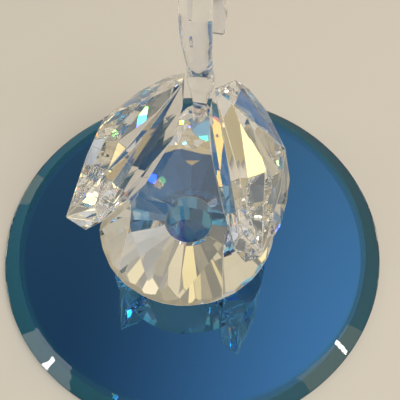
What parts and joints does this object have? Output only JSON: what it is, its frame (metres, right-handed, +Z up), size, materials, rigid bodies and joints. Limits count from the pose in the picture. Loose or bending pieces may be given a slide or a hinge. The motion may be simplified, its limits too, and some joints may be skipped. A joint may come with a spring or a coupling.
{
  "type": "crystal swan figurine",
  "caption": "Clear cut-crystal swan with raised wings and a smooth curved neck, standing on a round bevelled blue mirror; rests on a shelf as an ornament.",
  "frame": {"origin": "centre of the mirror's underside, on the surface it stands on", "axes": "+Z up, -Y the way the swan faces, +X towards the swan's left wing"},
  "size_m": [0.08, 0.08, 0.0587],
  "materials": {
    "clear_crystal": "clear polished cut crystal with sharp facets and no colour of its own",
    "blue_mirror": "polished bevelled glass over a blue mirrored back"
  },
  "bodies": {
    "root": {"mirror_base": "blue_mirror", "body": "clear_crystal", "wing_right": "clear_crystal", "wing_left": "clear_crystal", "neck_head": "clear_crystal"}
  },
  "joints": []
}
